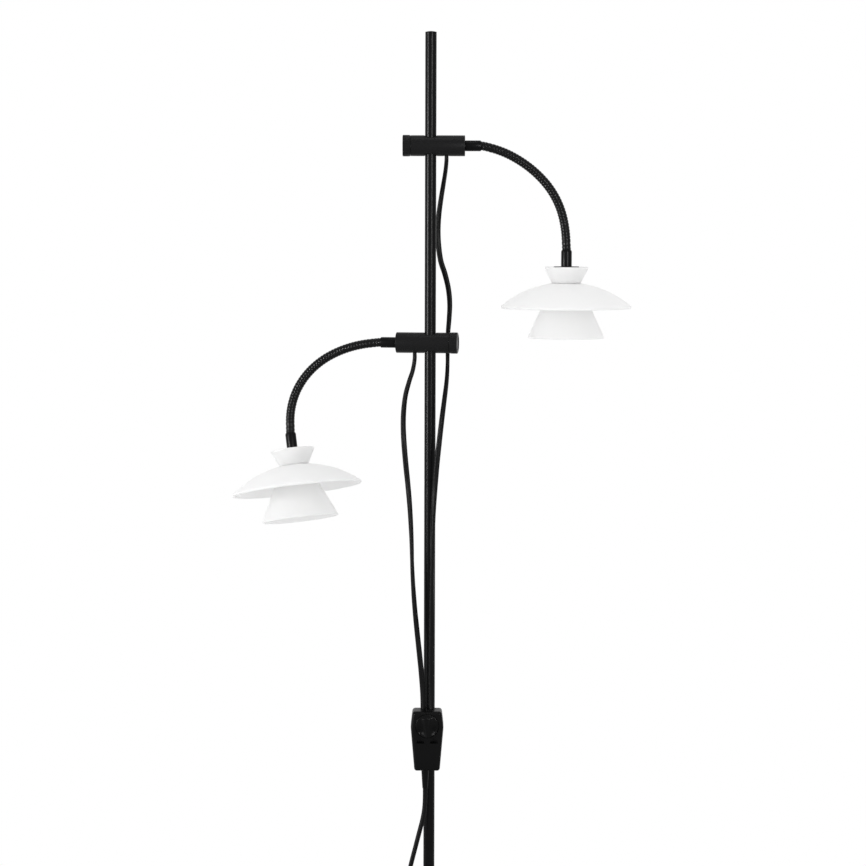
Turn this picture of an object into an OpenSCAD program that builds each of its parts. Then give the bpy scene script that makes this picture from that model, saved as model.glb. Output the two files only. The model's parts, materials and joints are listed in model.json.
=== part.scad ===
// Two-arm floor lamp. A round base carries a three-section pole. Two clamps slide and swivel on the pole,
// each with an articulated ribbed neck, a lampholder and a three-part opal glass shade.
// Origin: pole axis on the floor. +Z up, the front of the lamp faces -Y, the upper neck leaves toward +X.

/* [Stand] */
// Height of the pole's domed end above the floor
lamp_h = 1445.5; // [1400:0.5:1500]
// Diameter of the round base plate
base_d = 240; // [220:1:250]
// Thickness of the base plate
base_t = 8; // [7:0.5:10]
// Thickness of the felt pad under the base
pad_t = 2; // [1:0.5:3]
// Outside diameter of the pole tube
pole_d = 12; // [11.8:0.1:12.4]
// Wall thickness of the pole tube
pole_wall = 1; // [0.8:0.1:1.2]

/* [Clamps] */
// Height of the upper clamp's axis
upper_clamp_z = 1325.5; // [1250:0.5:1340]
// Height of the lower clamp's axis
lower_clamp_z = 1117; // [1000:0.5:1130]
// Diameter of the clamp barrel
barrel_d = 22; // [21:0.5:24]
// Diameter of the clamp knob
knob_d = 22.6; // [21:0.2:24]
// Number of grip grooves round the knob
knob_grooves = 24; // [12:1:30]
// Swivel of the lower clamp on the pole, with its knob toward the front
lower_swivel = 8; // [0:1:30]

/* [Necks] */
// Diameter over the ribs of the neck
neck_d = 9.54; // [9.2:0.02:10]
// Distance from one ball joint of the neck to the next
neck_pitch = 22; // [20:0.5:24]
// Ribs on each link
link_ribs = 6; // [4:1:6]
// Turn of the lower neck about its own clamp axis, toward the front
lower_roll = 9.5; // [0:0.5:45]
// Diameter of the end ferrules
ferrule_d = 11.4; // [11:0.1:12]

/* [Shades] */
// Diameter of the dome's rim
dome_d = 138.9; // [120:0.1:150]
// Outside radius of the dome's curve
dome_curve_r = 107.4; // [95:0.1:120]
// Wall thickness of the dome
dome_t = 3; // [2.6:0.1:3.4]
// Diameter of the collar's open top
collar_d = 46.9; // [40:0.1:52]
// Wall thickness of the collar
collar_t = 2.5; // [2:0.1:2.8]
// Diameter of the cone's open bottom
cone_d = 81.2; // [70:0.1:90]
// Wall thickness of the cone
cone_t = 2.6; // [2:0.1:3]

/* [Dimmer] */
// Greatest width of the dimmer
dimmer_w = 35; // [33:0.5:38]
// Height of the dimmer
dimmer_h = 64.5; // [60:0.5:70]
// Diameter of the turning knob
dial_d = 25; // [22:0.5:26]

/* [Cords] */
// Diameter of the lamp cords
lamp_cord_d = 4.8; // [4:0.1:5]
// Diameter of the mains cord
mains_d = 5; // [4.6:0.1:5.2]
// Turns of the stored coil
coil_turns = 7; // [5:2:7]
// Outer turn of the coil, radius at the middle of the cord
coil_r = 39.6; // [38:0.1:40]

/* [Hidden] */
$fn = 64;

// ---- Stand
plate_top = pad_t + base_t;
pole_r = pole_d / 2;
tube_bore_r = pole_r - pole_wall;
spigot_r = tube_bore_r - 0.05;
joint_h = 7;
tube_end = lamp_h - 1.5;
tube_len = (tube_end - plate_top - 2 * joint_h) / 3;
joint_z = [plate_top + tube_len, plate_top + 2 * tube_len + joint_h];
bolt_r = 3;

// ---- Clamps, along their own X axis from the middle of the pole
bush_r = pole_r + 1;
bush_h = 16.6;
running = 0.05;
barrel_back = -21;
barrel_end = 36.3;
barrel_wall = 5;
bore_r = 6;
shoe_back = -12;
knob_back = -29.8;
exit_x = 16.7;
exit_r = 3.2;

// ---- Necks
root_end = 53.2;
neck_start = 56;
link_count = 7;
core_r = neck_d / 2 - 0.47;
ball_r = 3.6;
socket_r = 3.7;
stem_r = 2.7;
wire_r = 2;
rib_step = neck_pitch / link_ribs;
rib_root = 0.87;
rib_crest = 0.5;
link_end = neck_pitch - 2.8;
// Bend at each of the eight ball joints at rest, from the clamp to the shade, in degrees
upper_bends = [16, 12, 10, 11, 14, 14, 10, 3];
lower_bends = [7.5, 10.5, 11.5, 14.5, 16, 17, 16, 5.5];

// ---- Shades, measured from the last ball joint along the head
ferrule_end = 18.5;
cap_top = 17.4;
collar_top = 17.9;
collar_seat = 35.4;
waist_r = 15.5;
cone_top = 38.3;
cone_top_r = 16;
cone_end = 93.6;
stack_r = 10.2;
holder_r = 10;
dome_centre = collar_seat + sqrt(dome_curve_r * dome_curve_r - waist_r * waist_r);
dome_mid_r = dome_curve_r - dome_t / 2;
dome_angle = asin((dome_d / 2 - dome_t / 2) / dome_mid_r);

// ---- Dimmer, depths measured forward from the pole axis
dimmer_x = -2.2;
dimmer_bottom = 660;
dimmer_top = dimmer_bottom + dimmer_h;
dial_z = 709;
back_y = 7;
split_y = 18;
front_y = 30;
shell_t = 2;
dial_y = 27.5;
cord_y = 13;
mains_x = -4.2;
screw_spots = [[-11, 718], [11, 718], [-9, 667], [9, 667]];

// ---- Cords: hand-set routes, from the barrel or the dimmer downward
upper_route = [
    [16.7, 0, 1317.5], [16.7, 0, 1309], [15.6, -1, 1298], [13.4, -2.5, 1284], [11, -4, 1269],
    [8.8, -5.5, 1252], [8, -6, 1236], [8.6, -5, 1221], [11, -1.5, 1204], [15.5, 3, 1190],
    [19.3, 7.5, 1174], [20.8, 11, 1158], [20.2, 14, 1142], [19, 15.5, 1126], [18.7, 15.5, 1108],
    [18.6, 13, 1091], [17.6, 7.5, 1075], [15.2, 0, 1056], [12.6, -6, 1036], [10.1, -9.8, 1014],
    [7.6, -12.4, 990], [5.4, -13.6, 962], [3.8, -13.8, 936], [2.9, -13.6, 900], [2.6, -13.4, 850],
    [2.5, -13.2, 790], [2.5, -13, 736], [2.5, -13, 721.5]
];
lower_route = [
    [-16.54, 2.32, 1109], [-16.54, 2.32, 1099], [-18.6, 1.2, 1087], [-22.5, -0.4, 1075], [-26.5, -2.2, 1059],
    [-28.4, -3.9, 1038], [-28, -5.4, 1016], [-25.8, -6.8, 989], [-23.2, -8.2, 964], [-21, -9.4, 938],
    [-19.4, -10.4, 908], [-18.6, -11.2, 880], [-17.4, -11.8, 856], [-15.6, -12.4, 832], [-13.2, -12.8, 808],
    [-10.6, -13, 784], [-8.2, -13, 760], [-6.8, -13, 739], [-6.5, -13, 721.5]
];
relief_end = 638;
floor_z = mains_d / 2 + 0.1;
mains_route = [
    [mains_x, -cord_y, relief_end], [mains_x, -cord_y, 628], [-4.8, -13.6, 616], [-6.8, -14.6, 604],
    [-10.4, -15.8, 590], [-15, -17, 572], [-19.8, -18, 553], [-26, -19.4, 525], [-34, -21.6, 480],
    [-41, -24, 430], [-47.4, -26.4, 370], [-52, -28.6, 310], [-55, -30, 250], [-57, -31.2, 190],
    [-58.4, -32, 140], [-59.6, -32.6, 100], [-61.2, -33, 70], [-64.4, -33.4, 46], [-70, -33.8, 28],
    [-78, -34, 18.6], [-88, -34.3, 13.8], [-99, -34.6, 12.7], [-112, -34.6, 12.6], [-121, -34.6, 11],
    [-130, -34.6, 7.6], [-139, -34.6, 4.4], [-148, -34.6, floor_z + 0.2], [-156, -34.6, floor_z],
    [-164, -34.6, floor_z]
];
coil_centre = [-169, -34.6 + coil_r];
coil_step = mains_d + 0.5;
coil_rings = 24;
tail_start = [coil_centre.x - mains_d, coil_centre.y - coil_r, floor_z + coil_step];
tail_r = 24;
tail_bend = [-184, tail_start.y - tail_r];
plug_z = 6.95;
plug_body = 36;
plug_tail = 20;
pin_len = 19;
tail_route = concat(
    [tail_start, [tail_start.x - 5, tail_start.y, tail_start.z - 0.2]],
    [for (a = [90:22.5:270])
        [tail_bend.x + tail_r * cos(a), tail_bend.y + tail_r * sin(a), tail_start.z + (plug_z - tail_start.z) * (a - 90) / 180]],
    [[tail_bend.x + 4, tail_bend.y - tail_r, plug_z]]
);

// ---- Arms: name, clamp height, side of the pole, roll of the neck, bends at rest
ARMS = [
    ["upper", upper_clamp_z, 0, 0, upper_bends],
    ["lower", lower_clamp_z, 180 - lower_swivel, lower_roll, lower_bends]
];
LINKS = [for (k = [1:link_count]) str("neck_link_", k)];
ARM_NODES = concat(
    ["clamp_bush", "clamp_barrel", "clamp_shoe", "clamp_knob", "neck_root"],
    LINKS,
    ["shade_ferrule", "shade_cap", "lampholder", "ring_nut", "collar_glass", "dome_glass", "cone_glass", "bulb"]
);

metal_black = "#1d1d1f";
plastic_black = "#222224";
nylon_grey = "#3a3b3d";
zinc = "#b9bcc0";
glass_white = "#f4f4f2";

// ---- Functions

function unit(v) = v / norm(v);

// Sum of the first k entries of a list
function sum_to(list, k) = k <= 0 ? 0 : list[k - 1] + sum_to(list, k - 1);

// Place of ball joint k (0 to 7) in the plane of the neck
function pivot(bends, k) = k == 0
    ? [neck_start, 0]
    : pivot(bends, k - 1) + neck_pitch * [cos(sum_to(bends, k)), -sin(sum_to(bends, k))];

function tangent(path, i) = unit(path[min(i + 1, len(path) - 1)] - path[max(i - 1, 0)]);

// One ring of a swept tube, turned square to the path
function ring(path, i, r, sides, side_ref) =
    let (along = tangent(path, i), a = unit(cross(side_ref, along)), b = cross(along, a))
    [for (k = [0:sides - 1]) path[i] + r * (cos(360 * k / sides) * a + sin(360 * k / sides) * b)];

function smooth(x) = let (t = min(max(x, 0), 1)) t * t * (3 - 2 * t);

// Coil: in from the outer turn on the floor, up a layer in the half turn where it reverses, and out again
function coil_point(t) =
    let (half = coil_turns / 2,
         r = coil_r - coil_step * (half - abs(t - half)),
         z = floor_z + coil_step * smooth((t - half) * 2 + 0.5),
         a = 270 - 360 * t)
    [coil_centre.x + r * cos(a), coil_centre.y + r * sin(a), z];

coil_path = concat(
    [[coil_centre.x + mains_d, coil_centre.y - coil_r, floor_z]],
    [for (i = [0:coil_turns * coil_rings]) coil_point(i / coil_rings)],
    [tail_start]
);
coil_gap = min([for (i = [0:len(coil_path) - 1]) for (j = [i + coil_rings / 2:1:len(coil_path) - 1])
    norm(coil_path[i] - coil_path[j])]) - mains_d;
echo(least_gap_in_coil = coil_gap);

function path_length(path, i = 1) = i >= len(path) ? 0 : norm(path[i] - path[i - 1]) + path_length(path, i + 1);
echo(mains_length = path_length(mains_route) + path_length(coil_path) + path_length(tail_route),
     upper_cord_length = path_length(upper_route), lower_cord_length = path_length(lower_route));

// ---- Shared shapes

// Tube swept along a path with flat ends
module tube(path, r, sides, side_ref = [0, 1, 0]) {
    last = len(path) - 1;
    points = [for (i = [0:last]) each ring(path, i, r, sides, side_ref)];
    start_cap = [for (k = [1:sides - 2]) [0, k, k + 1]];
    end_cap = [for (k = [1:sides - 2]) [last * sides, last * sides + k + 1, last * sides + k]];
    walls = [for (i = [0:last - 1]) for (k = [0:sides - 1])
        let (a = i * sides + k, b = i * sides + (k + 1) % sides)
        each [[a, a + sides, b + sides], [a, b + sides, b]]];
    polyhedron(points = points, faces = concat(start_cap, walls, end_cap));
}

// Flat bar between two points of a profile, with round ends
module profile_bar(p, q, t) {
    translate(p)
        circle(t / 2);
    translate(q)
        circle(t / 2);
    translate(p)
        rotate(atan2(q.y - p.y, q.x - p.x))
            translate([0, -t / 2])
                square([norm(q - p), t]);
}

// Cylinder with a chamfer at both ends
module chamfered(r, h, c) {
    rotate_extrude()
        polygon([[0, 0], [r - c, 0], [r, c], [r, h - c], [r - c, h], [0, h]]);
}

module clamp_frame(arm) {
    translate([0, 0, arm[1]])
        rotate([0, 0, arm[2]])
            children();
}

module neck_frame(arm) {
    clamp_frame(arm)
        rotate([arm[3], 0, 0])
            children();
}

// Frame of ball joint k: origin at the ball, +Z along the link that hangs on it
module joint_frame(arm, k) {
    place = pivot(arm[4], k);
    neck_frame(arm)
        translate([place.x, 0, place.y])
            rotate([0, 90 + sum_to(arm[4], k + 1), 0])
                children();
}

module head_frame(arm) {
    joint_frame(arm, link_count)
        children();
}

// ---- Stand

module base_plate() {
    edge = 3;
    color(metal_black)
        difference() {
            rotate_extrude() {
                translate([0, pad_t])
                    square([base_d / 2 - edge, base_t]);
                translate([0, pad_t])
                    square([base_d / 2, base_t - edge]);
                translate([base_d / 2 - edge, plate_top - edge])
                    circle(edge);
            }
            translate([0, 0, -1])
                cylinder(r = bolt_r + 0.2, h = plate_top + 2);
            translate([0, 0, -1])
                cylinder(r = 8.5, h = pad_t + 5);
        }
}

module base_pad() {
    color(nylon_grey)
        cylinder(r = base_d / 2 - 4, h = pad_t);
}

module base_bolt() {
    head_top = pad_t + 4;
    color(zinc)
        difference() {
            union() {
                translate([0, 0, head_top - 1.2])
                    cylinder(r = 6.8, h = 1.2);
                translate([0, 0, head_top - 3.4])
                    chamfered(5.2, 3, 0.6);
                translate([0, 0, head_top - 1])
                    cylinder(r = bolt_r, h = 25);
            }
            translate([0, 0, head_top - 4])
                cylinder(r = 2.31, h = 2.4, $fn = 6);
        }
}

module pole_tube(z) {
    color(metal_black)
        translate([0, 0, z])
            difference() {
                cylinder(r = pole_r, h = tube_len);
                translate([0, 0, -1])
                    cylinder(r = tube_bore_r, h = tube_len + 2);
            }
}

// Screw-together joints between the tube sections, and the threaded foot that the base bolt pulls down
module pole_couplers() {
    grip = 35;
    groove = 0.3;
    color(metal_black) {
        for (z = joint_z)
            translate([0, 0, z])
                difference() {
                    union() {
                        translate([0, 0, -grip])
                            chamfered(spigot_r, 2 * grip + joint_h, 0.8);
                        chamfered(pole_r, joint_h, groove);
                    }
                    for (level = [1.6, joint_h - 2.2])
                        translate([0, 0, level])
                            difference() {
                                cylinder(r = pole_r + 1, h = 0.6);
                                cylinder(r = pole_r - groove, h = 0.6);
                            }
                }
        translate([0, 0, plate_top])
            difference() {
                chamfered(spigot_r, 30, 0.6);
                translate([0, 0, -1])
                    cylinder(r = bolt_r + running, h = 22);
            }
    }
}

module pole_end_plug() {
    rise = lamp_h - tube_end - 0.5;
    dome = (pole_r * pole_r + rise * rise) / (2 * rise);
    color(plastic_black) {
        intersection() {
            translate([0, 0, tube_end])
                cylinder(r = pole_r, h = 4);
            translate([0, 0, lamp_h - dome])
                sphere(dome);
        }
        translate([0, 0, tube_end - 16])
            chamfered(spigot_r, 16.2, 0.6);
    }
}

// ---- Dimmer

// Outline seen from the front: round shoulders at the knob, narrower toward the cord
module dimmer_outline(inset) {
    offset(delta = -inset)
        hull() {
            translate([0, dimmer_top - dimmer_w / 2])
                circle(dimmer_w / 2, $fn = 48);
            for (side = [-1, 1]) {
                translate([side * 12.6, dimmer_top - 3.4])
                    circle(3.4, $fn = 24);
                translate([side * 10.8, dimmer_bottom + 3])
                    circle(3, $fn = 24);
            }
        }
}

// Slab of that outline from one depth to another
module dimmer_slab(from_y, to_y, inset) {
    translate([dimmer_x, -from_y, 0])
        rotate([90, 0, 0])
            linear_extrude(to_y - from_y)
                dimmer_outline(inset);
}

// Round bar along the depth of the dimmer
module depth_bar(x, z, r, from_y, to_y) {
    translate([dimmer_x + x, -from_y, z])
        rotate([90, 0, 0])
            cylinder(r = r, h = to_y - from_y);
}

module dimmer_back() {
    clip_r = 8.6;
    clip_h = 12;
    color(plastic_black)
        difference() {
            union() {
                difference() {
                    dimmer_slab(back_y, split_y, 0);
                    dimmer_slab(back_y + shell_t, split_y + 1, shell_t);
                }
                for (spot = screw_spots)
                    depth_bar(spot.x, spot.y, 2.9, back_y, split_y + 1);
                for (z = [dimmer_bottom + 4, dimmer_top - 4 - clip_h])
                    translate([0, 0, z])
                        cylinder(r = clip_r, h = clip_h);
            }
            translate([0, 0, dimmer_bottom - 1])
                cylinder(r = pole_r + running, h = dimmer_h + 2);
            translate([-4.6, 0, dimmer_bottom - 1])
                cube([9.2, 12, dimmer_h + 2]);
            for (spot = screw_spots) {
                depth_bar(spot.x, spot.y, 1.3, back_y - 1, split_y + 2);
                depth_bar(spot.x, spot.y, 2.3, back_y - 1, back_y + 3);
            }
            for (x = [upper_route[27].x, lower_route[18].x])
                translate([x, -cord_y, dimmer_top - 4])
                    cylinder(r = lamp_cord_d / 2 + 0.8, h = 6);
            translate([mains_x, -cord_y, dimmer_bottom - 1])
                cylinder(r = 3.25, h = 4);
        }
}

module dimmer_front() {
    recess_r = dial_d / 2 + 0.35;
    color(plastic_black)
        difference() {
            union() {
                difference() {
                    hull() {
                        dimmer_slab(split_y, front_y - 4, 0);
                        dimmer_slab(split_y, front_y - 1.3, 1.3);
                        dimmer_slab(split_y, front_y, 4);
                    }
                    dimmer_slab(split_y - 1, 25.5, shell_t);
                }
                for (spot = screw_spots)
                    depth_bar(spot.x, spot.y, 2.4, split_y + 2.6, 26);
            }
            for (spot = screw_spots)
                depth_bar(spot.x, spot.y, 1.2, split_y, 25.6);
            depth_bar(0, dial_z, recess_r, dial_y, front_y + 3);
            depth_bar(0, dial_z, 3.05, 24, front_y);
            // Finger scoops on both sides of the ridge under the knob
            for (side = [-1, 1])
                translate([dimmer_x + side * 8, -(front_y + 7), dial_z - 12.5])
                    sphere(9);
        }
}

// Circuit board with the potentiometer that the knob turns
module dimmer_board() {
    color("#2f4a3a")
        difference() {
            union() {
                dimmer_slab(split_y + 1, split_y + 2.6, shell_t + 0.6);
                depth_bar(0, dial_z, 8, split_y + 2.6, 25);
                translate([dimmer_x - 7, -(split_y + 6), 672])
                    cube([14, 4, 16]);
            }
            for (spot = screw_spots)
                depth_bar(spot.x, spot.y, 1.4, split_y, 21);
            depth_bar(0, dial_z, 3.05, split_y, 26);
        }
}

module dimmer_screws() {
    color(zinc)
        for (spot = screw_spots) {
            depth_bar(spot.x, spot.y, 2.2, back_y + 1.2, back_y + 3);
            depth_bar(spot.x, spot.y, 1.15, back_y + 3, 24);
        }
}

// Turning knob: a disc with a grip bar across it and a finger dip on each side
module dimmer_dial() {
    bar_w = 6.2;
    color(metal_black) {
        difference() {
            translate([dimmer_x, -(dial_y + 0.3), dial_z])
                rotate([90, 0, 0])
                    chamfered(dial_d / 2, 3.5, 0.5);
            for (side = [-1, 1])
                translate([dimmer_x + side * 7.6, -(dial_y + 14.4), dial_z])
                    sphere(12);
        }
        intersection() {
            translate([dimmer_x - bar_w / 2, -(dial_y + 5.8), dial_z - dial_d / 2])
                cube([bar_w, 4, dial_d]);
            depth_bar(0, dial_z, dial_d / 2 - 0.5, dial_y, dial_y + 5.8);
        }
        depth_bar(0, dial_z, 3, split_y + 3, dial_y + 1);
    }
}

// ---- Mains lead

// Grommet in the dimmer's lower wall, with its tapered tail
module mains_relief() {
    color(plastic_black)
        translate([mains_x, -cord_y, 0])
            rotate_extrude()
                polygon([
                    [0, relief_end], [mains_d / 2 + 0.3, relief_end], [mains_d / 2 + 0.5, relief_end + 0.8],
                    [4.1, dimmer_bottom - 3], [4.4, dimmer_bottom - 2.4], [4.4, dimmer_bottom],
                    [3.2, dimmer_bottom], [3.2, dimmer_bottom + shell_t], [3.9, dimmer_bottom + shell_t],
                    [3.9, dimmer_bottom + 4], [0, dimmer_bottom + 4]
                ]);
}

module mains_cord() {
    color(plastic_black) {
        tube(mains_route, mains_d / 2, 8);
        tube(tail_route, mains_d / 2, 8, [0, 0, 1]);
    }
}

module mains_coil() {
    color(plastic_black)
        tube(coil_path, mains_d / 2, 6, [0, 0, 1]);
}

// Frame of the plug: origin where the cord enters its tail, +X toward the pins
module plug_frame() {
    translate([tail_bend.x + 4, tail_bend.y - tail_r, plug_z])
        children();
}

// Flat two-pin plug with a tapered tail
module mains_plug() {
    color(plastic_black)
        plug_frame()
            difference() {
                union() {
                    rotate([0, 90, 0])
                        cylinder(r1 = mains_d / 2 + 0.5, r2 = 4.6, h = plug_tail + 1);
                    hull() {
                        translate([plug_tail, -8, -5.4])
                            cube([1, 16, 10.8]);
                        translate([plug_tail + 10, -10, -6.2])
                            cube([1, 20, 12.4]);
                    }
                    hull() {
                        translate([plug_tail + 10, -10, -6.2])
                            cube([1, 20, 12.4]);
                        for (side = [-1, 1])
                            translate([plug_tail + plug_body - 9, side * 12.6, -6.85])
                                cylinder(r = 5, h = 13.7, $fn = 24);
                        translate([plug_tail + plug_body - 1, -16, -6])
                            cube([1, 32, 12]);
                    }
                }
                for (side = [-1, 1])
                    translate([plug_tail + plug_body - 8, side * 9.3, 0])
                        rotate([0, 90, 0])
                            cylinder(r = 2, h = 10);
            }
}

module plug_pins() {
    color(zinc)
        plug_frame()
            for (side = [-1, 1])
                translate([plug_tail + plug_body - 8, side * 9.3, 0])
                    rotate([0, 90, 0])
                        chamfered(1.98, pin_len + 8, 0.6);
}

module upper_lamp_cord() {
    color(plastic_black)
        tube(upper_route, lamp_cord_d / 2, 8);
}

module lower_lamp_cord() {
    color(plastic_black)
        tube(lower_route, lamp_cord_d / 2, 8);
}

// ---- Clamp

// Split sleeve that slides on the pole
module clamp_bush(arm) {
    color(nylon_grey)
        clamp_frame(arm)
            difference() {
                translate([0, 0, -bush_h / 2])
                    cylinder(r = bush_r, h = bush_h);
                translate([0, 0, -bush_h])
                    cylinder(r = pole_r + running, h = 2 * bush_h);
                translate([0, -0.6, -bush_h])
                    cube([bush_r + 1, 1.2, 2 * bush_h]);
            }
}

module clamp_barrel(arm) {
    color(metal_black)
        clamp_frame(arm)
            difference() {
                translate([barrel_back, 0, 0])
                    rotate([0, 90, 0])
                        chamfered(barrel_d / 2, barrel_end - barrel_back, 0.8);
                translate([0, 0, -barrel_d])
                    cylinder(r = bush_r + running, h = 2 * barrel_d);
                translate([barrel_back - 1, 0, 0])
                    rotate([0, 90, 0])
                        cylinder(r = bore_r + running, h = barrel_end - barrel_wall - barrel_back + 1);
                rotate([0, 90, 0])
                    cylinder(r = 4 + running, h = barrel_end + 1);
                translate([exit_x, 0, -barrel_d])
                    cylinder(r = exit_r, h = barrel_d);
            }
}

// Pressure shoe between the knob's screw and the sleeve
module clamp_shoe(arm) {
    color(nylon_grey)
        clamp_frame(arm)
            difference() {
                translate([shoe_back, 0, 0])
                    rotate([0, 90, 0])
                        cylinder(r = bore_r - running, h = -shoe_back - 3);
                translate([0, 0, -barrel_d])
                    cylinder(r = bush_r + 0.1, h = 2 * barrel_d);
            }
}

module clamp_knob(arm) {
    color(metal_black)
        clamp_frame(arm)
            rotate([0, 90, 0])
                difference() {
                    union() {
                        translate([0, 0, knob_back])
                            chamfered(knob_d / 2, barrel_back - 0.4 - knob_back, 0.8);
                        translate([0, 0, knob_back + 2])
                            cylinder(r = bore_r, h = shoe_back - 0.1 - knob_back - 2);
                    }
                    for (k = [1:knob_grooves])
                        rotate([0, 0, 360 * k / knob_grooves])
                            translate([knob_d / 2 + 0.35, 0, knob_back - 1])
                                cylinder(r = 0.8, h = 7.4);
                    translate([0, 0, knob_back - 1])
                        cylinder(r = 8, h = 1.6);
                }
}

// ---- Neck

// Ball on its stem, with the hole that the wires pass through
module ball_end(z, from_z) {
    translate([0, 0, from_z])
        cylinder(r = stem_r, h = z - from_z);
    translate([0, 0, z])
        sphere(ball_r);
}

// Ferrule that turns in the barrel's end wall and carries the first ball
module neck_root(arm) {
    r = ferrule_d / 2;
    inner = barrel_end - barrel_wall;
    color(metal_black)
        neck_frame(arm)
            rotate([0, 90, 0])
                difference() {
                    union() {
                        rotate_extrude()
                            polygon([
                                [0, inner - 1.5], [5.4, inner - 1.5], [5.4, inner - 0.1], [4, inner - 0.1],
                                [4, barrel_end + 0.1], [r - 0.6, barrel_end + 0.1], [r, barrel_end + 0.7],
                                [r, root_end - 0.6], [r - 0.6, root_end], [0, root_end]
                            ]);
                        ball_end(neck_start, root_end - 1);
                    }
                    translate([0, 0, inner - 3])
                        cylinder(r = wire_r, h = neck_start);
                }
}

// Ribbed link: a socket at its start, the next ball at its end
module neck_link(arm, k) {
    ribs = [for (i = [0:link_ribs - 1]) each [
        [core_r, i * rib_step - rib_root], [neck_d / 2, i * rib_step - rib_crest],
        [neck_d / 2, i * rib_step + rib_crest], [core_r, i * rib_step + rib_root]
    ]];
    color(metal_black)
        joint_frame(arm, k)
            difference() {
                union() {
                    rotate_extrude()
                        polygon(concat([[0, -rib_root]], ribs, [[core_r, link_end], [0, link_end]]));
                    ball_end(neck_pitch, link_end - 1);
                }
                sphere(socket_r);
                translate([0, 0, -5])
                    cylinder(r = wire_r, h = neck_pitch + 10);
            }
}

// ---- Shade

module shade_ferrule(arm) {
    r = ferrule_d / 2;
    color(metal_black)
        head_frame(arm)
            difference() {
                rotate_extrude()
                    polygon([
                        [0, -rib_root], [core_r, -rib_root], [core_r + 0.2, -0.4], [r, 1.4],
                        [r, ferrule_end], [4, ferrule_end], [4, ferrule_end + 5.5], [0, ferrule_end + 5.5]
                    ]);
                sphere(socket_r);
                translate([0, 0, -5])
                    cylinder(r = wire_r, h = ferrule_end + 15);
            }
}

// Holder cup inside the collar, with the flange that clamps the glass
module shade_cap(arm) {
    pocket = 26;
    clamp = collar_seat - collar_t;
    color(plastic_black)
        head_frame(arm)
            rotate_extrude()
                polygon([
                    [ferrule_d / 2 + 0.05, cap_top], [13.2, cap_top], [13.6, cap_top + 0.4],
                    [13.6, cap_top + 1.4], [13, cap_top + 2], [10.9, clamp - 2.4], [13, clamp - 1.6],
                    [13, clamp], [holder_r + running, clamp], [holder_r + running, pocket], [3, pocket],
                    [3, ferrule_end + 5.7], [4.05, ferrule_end + 5.7], [4.05, ferrule_end],
                    [ferrule_d / 2 + 0.05, ferrule_end]
                ]);
}

module lampholder(arm) {
    top = 26.2;
    bottom = 48;
    color("#2a2a2b")
        head_frame(arm)
            difference() {
                translate([0, 0, top])
                    chamfered(holder_r, bottom - top, 0.8);
                translate([0, 0, top - 1])
                    cylinder(r = 3, h = 4);
                for (side = [-1, 1])
                    translate([side * 4.6, 0, bottom - 8])
                        cylinder(r = 1.5, h = 9);
            }
}

// Notched nut that draws the glass stack against the cap
module ring_nut(arm) {
    start = cone_top + cone_t;
    color(plastic_black)
        head_frame(arm)
            difference() {
                translate([0, 0, start])
                    chamfered(13.4, 5, 0.5);
                translate([0, 0, start - 1])
                    cylinder(r = holder_r + running, h = 8);
                for (k = [1:8])
                    rotate([0, 0, 45 * k])
                        translate([13.6, 0, start + 1.5])
                            cylinder(r = 1.2, h = 5);
            }
}

module collar_glass(arm) {
    half = collar_t / 2;
    lip = [collar_d / 2 - half, collar_top + half];
    waist = [waist_r - half, collar_seat - half];
    color(glass_white)
        head_frame(arm)
            rotate_extrude() {
                profile_bar(lip, waist, collar_t);
                translate([stack_r, collar_seat - collar_t])
                    square([waist.x - stack_r, collar_t]);
            }
}

module dome_glass(arm) {
    seat_r = cone_top_r + 0.7;
    reach = 2 * dome_curve_r;
    color(glass_white)
        head_frame(arm)
            rotate_extrude()
                difference() {
                    union() {
                        intersection() {
                            translate([0, dome_centre])
                                difference() {
                                    circle(dome_curve_r, $fn = 256);
                                    circle(dome_curve_r - dome_t, $fn = 256);
                                }
                            polygon([
                                [0, dome_centre], [0, dome_centre - reach],
                                [reach * sin(dome_angle), dome_centre - reach * cos(dome_angle)]
                            ]);
                        }
                        translate([dome_mid_r * sin(dome_angle), dome_centre - dome_mid_r * cos(dome_angle)])
                            circle(dome_t / 2);
                        translate([stack_r, collar_seat])
                            square([waist_r - stack_r, cone_top - collar_seat]);
                    }
                    // Ground flat for the collar, seat for the cone and the hole for the lampholder
                    translate([0, collar_seat - 10])
                        square([waist_r + 2, 10]);
                    translate([0, cone_top])
                        square([seat_r, 10]);
                    square([stack_r, 100]);
                }
}

module cone_glass(arm) {
    half = cone_t / 2;
    shoulder = [cone_top_r - half, cone_top + half];
    lip = [cone_d / 2 - half, cone_end - half];
    color(glass_white)
        head_frame(arm)
            rotate_extrude() {
                profile_bar(shoulder, lip, cone_t);
                translate([stack_r, cone_top])
                    square([shoulder.x - stack_r, cone_t]);
            }
}

// Two-pin capsule bulb
module bulb(arm) {
    start = 48.3;
    body_r = 7;
    end = 88;
    color("#f7f5ee")
        head_frame(arm) {
            translate([0, 0, start])
                cylinder(r = body_r - 0.4, h = 8);
            translate([0, 0, start + 7])
                cylinder(r = body_r, h = end - body_r - start - 7);
            translate([0, 0, end - body_r])
                sphere(body_r);
            for (side = [-1, 1])
                translate([side * 4.6, 0, start - 7])
                    cylinder(r = 1, h = 8);
        }
}

// ---- Nodes

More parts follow.
